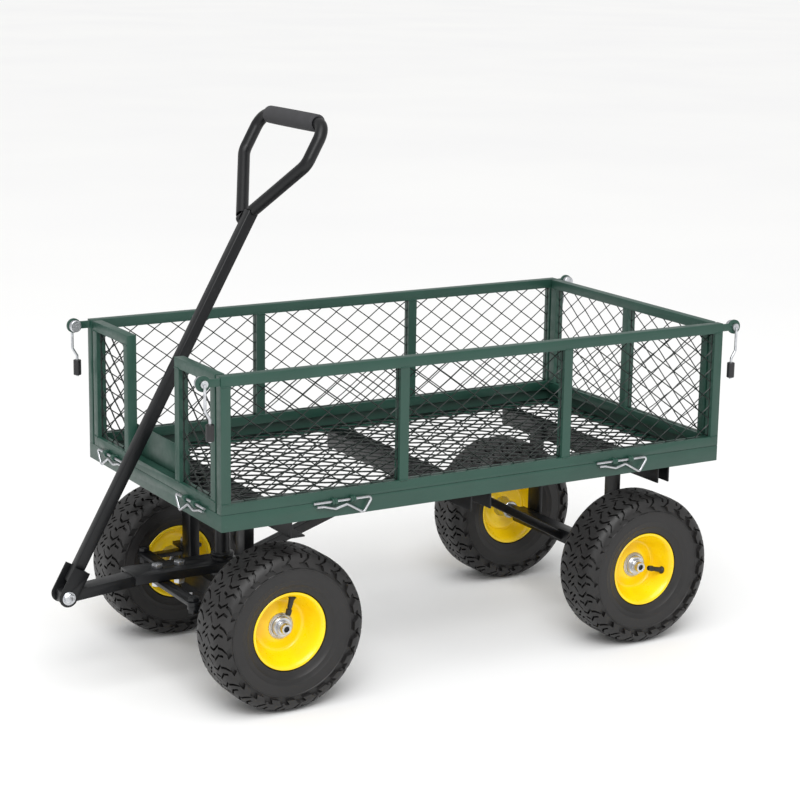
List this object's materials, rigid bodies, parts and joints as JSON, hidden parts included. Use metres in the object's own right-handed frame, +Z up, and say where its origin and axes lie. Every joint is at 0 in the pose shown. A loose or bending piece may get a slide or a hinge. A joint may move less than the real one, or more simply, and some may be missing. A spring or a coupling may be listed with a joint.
{
  "type": "garden cart",
  "caption": "Four-wheeled garden cart with a mesh deck, fold-down mesh sides, steered front wheels and a pull handle.",
  "frame": {"origin": "centre of the footprint of the whole cart's bounding box, at floor level, with the handle leaning back and the sides up", "axes": "+X towards the rear (the handle is at -X), +Y to the cart's left, +Z up"},
  "size_m": [1.145, 0.529, 0.908],
  "materials": {
    "green_paint": "satin powder coat",
    "mesh_paint": "satin powder coat",
    "black_paint": "satin powder coat",
    "wheel_yellow": "gloss enamel",
    "zinc_plate": "bright zinc plate",
    "tyre_rubber": "matt",
    "valve_rubber": "matt",
    "black_grip": "dipped vinyl",
    "black_foam": "closed-cell foam"
  },
  "bodies": {
    "bed": {"tray_frame": "green_paint", "deck_mesh": "mesh_paint", "gap_plate": "green_paint", "cross_member_front": "black_paint", "cross_member_middle": "black_paint", "cross_member_rear": "black_paint", "front_legs": "black_paint", "front_beam": "black_paint", "steering_column": "black_paint", "knuckle_bolts": "zinc_plate", "rear_legs": "black_paint", "rear_axle": "black_paint", "rear_washers": "zinc_plate", "brace_front": "black_paint", "brace_rear": "black_paint", "hinge_pins": "zinc_plate"},
    "panel_right": {"panel_frame_right": "green_paint", "panel_mesh_right": "mesh_paint"},
    "panel_left": {"panel_frame_left": "green_paint", "panel_mesh_left": "mesh_paint"},
    "panel_front": {"panel_frame_front": "green_paint", "panel_mesh_front": "mesh_paint"},
    "panel_rear": {"panel_frame_rear": "green_paint", "panel_mesh_rear": "mesh_paint"},
    "catch_front_right": {"latch_front_right": "zinc_plate", "latch_grip_front_right": "black_grip"},
    "catch_front_left": {"latch_front_left": "zinc_plate", "latch_grip_front_left": "black_grip"},
    "catch_rear_right": {"latch_rear_right": "zinc_plate", "latch_grip_rear_right": "black_grip"},
    "catch_rear_left": {"latch_rear_left": "zinc_plate", "latch_grip_rear_left": "black_grip"},
    "steering": {"drawbar": "black_paint", "tie_bolts": "zinc_plate", "pivot_bolt": "zinc_plate"},
    "handle": {"handle_bracket": "black_paint", "handle_pole": "black_paint", "handle_loop": "black_paint", "handle_grip": "black_foam"},
    "knuckle_body_right": {"knuckle_right": "black_paint"},
    "rod_right": {"tie_rod_right": "black_paint"},
    "knuckle_body_left": {"knuckle_left": "black_paint"},
    "rod_left": {"tie_rod_left": "black_paint"},
    "wheel_front_right": {"tyre_front_right": "tyre_rubber", "rim_front_right": "wheel_yellow", "hub_front_right": "zinc_plate", "valve_front_right": "valve_rubber"},
    "wheel_front_left": {"tyre_front_left": "tyre_rubber", "rim_front_left": "wheel_yellow", "hub_front_left": "zinc_plate", "valve_front_left": "valve_rubber"},
    "wheel_rear_right": {"tyre_rear_right": "tyre_rubber", "rim_rear_right": "wheel_yellow", "hub_rear_right": "zinc_plate", "valve_rear_right": "valve_rubber"},
    "wheel_rear_left": {"tyre_rear_left": "tyre_rubber", "rim_rear_left": "wheel_yellow", "hub_rear_left": "zinc_plate", "valve_rear_left": "valve_rubber"}
  },
  "joints": [
    {"name": "fold_right", "type": "hinge", "parent": "bed", "child": "panel_right", "pos_m": [0.0635, -0.2595, 0.336], "axis": [1, 0, 0], "range_deg": [0, 165]},
    {"name": "fold_left", "type": "hinge", "parent": "bed", "child": "panel_left", "pos_m": [0.0635, 0.2595, 0.336], "axis": [-1, 0, 0], "range_deg": [0, 165]},
    {"name": "fold_front", "type": "hinge", "parent": "bed", "child": "panel_front", "pos_m": [-0.412, 0, 0.336], "axis": [0, -1, 0], "range_deg": [0, 100]},
    {"name": "fold_rear", "type": "hinge", "parent": "bed", "child": "panel_rear", "pos_m": [0.539, 0, 0.336], "axis": [0, 1, 0], "range_deg": [0, 165]},
    {"name": "turn_catch_front_right", "type": "hinge", "parent": "panel_right", "child": "catch_front_right", "pos_m": [-0.4335, -0.249, 0.54], "axis": [0, 1, 0], "range_deg": [0, 150]},
    {"name": "turn_catch_front_left", "type": "hinge", "parent": "panel_left", "child": "catch_front_left", "pos_m": [-0.4335, 0.249, 0.54], "axis": [0, 1, 0], "range_deg": [0, 150]},
    {"name": "turn_catch_rear_right", "type": "hinge", "parent": "panel_right", "child": "catch_rear_right", "pos_m": [0.5605, -0.249, 0.54], "axis": [0, -1, 0], "range_deg": [0, 150]},
    {"name": "turn_catch_rear_left", "type": "hinge", "parent": "panel_left", "child": "catch_rear_left", "pos_m": [0.5605, 0.249, 0.54], "axis": [0, -1, 0], "range_deg": [0, 150]},
    {"name": "steer", "type": "hinge", "parent": "bed", "child": "steering", "pos_m": [-0.2825, 0, 0.177], "axis": [0, 0, 1], "range_deg": [-25, 25]},
    {"name": "lower_handle", "type": "hinge", "parent": "steering", "child": "handle", "pos_m": [-0.5575, 0, 0.162], "axis": [0, -1, 0], "range_deg": [0, 115]},
    {"name": "kingpin_right", "type": "hinge", "parent": "bed", "child": "knuckle_body_right", "pos_m": [-0.2825, -0.138, 0.132], "axis": [0, 0, 1], "range_deg": [-25, 25]},
    {"name": "rod_turn_right", "type": "hinge", "parent": "steering", "child": "rod_right", "pos_m": [-0.3985, 0, 0.165], "axis": [0, 0, 1], "range_deg": [-25, 25]},
    {"name": "kingpin_left", "type": "hinge", "parent": "bed", "child": "knuckle_body_left", "pos_m": [-0.2825, 0.138, 0.132], "axis": [0, 0, 1], "range_deg": [-25, 25]},
    {"name": "rod_turn_left", "type": "hinge", "parent": "steering", "child": "rod_left", "pos_m": [-0.3595, 0, 0.165], "axis": [0, 0, 1], "range_deg": [-25, 25]},
    {"name": "spin_front_right", "type": "hinge", "parent": "knuckle_body_right", "child": "wheel_front_right", "pos_m": [-0.2825, -0.206, 0.13], "axis": [0, 1, 0], "continuous": true},
    {"name": "spin_front_left", "type": "hinge", "parent": "knuckle_body_left", "child": "wheel_front_left", "pos_m": [-0.2825, 0.206, 0.13], "axis": [0, 1, 0], "continuous": true},
    {"name": "spin_rear_right", "type": "hinge", "parent": "bed", "child": "wheel_rear_right", "pos_m": [0.4005, -0.206, 0.13], "axis": [0, 1, 0], "continuous": true},
    {"name": "spin_rear_left", "type": "hinge", "parent": "bed", "child": "wheel_rear_left", "pos_m": [0.4005, 0.206, 0.13], "axis": [0, 1, 0], "continuous": true}
  ],
  "couplings": [
    {"joint": "kingpin_right", "follows": "steer", "ratio": 1},
    {"joint": "rod_turn_right", "follows": "steer", "ratio": -1},
    {"joint": "kingpin_left", "follows": "steer", "ratio": 1},
    {"joint": "rod_turn_left", "follows": "steer", "ratio": -1}
  ]
}
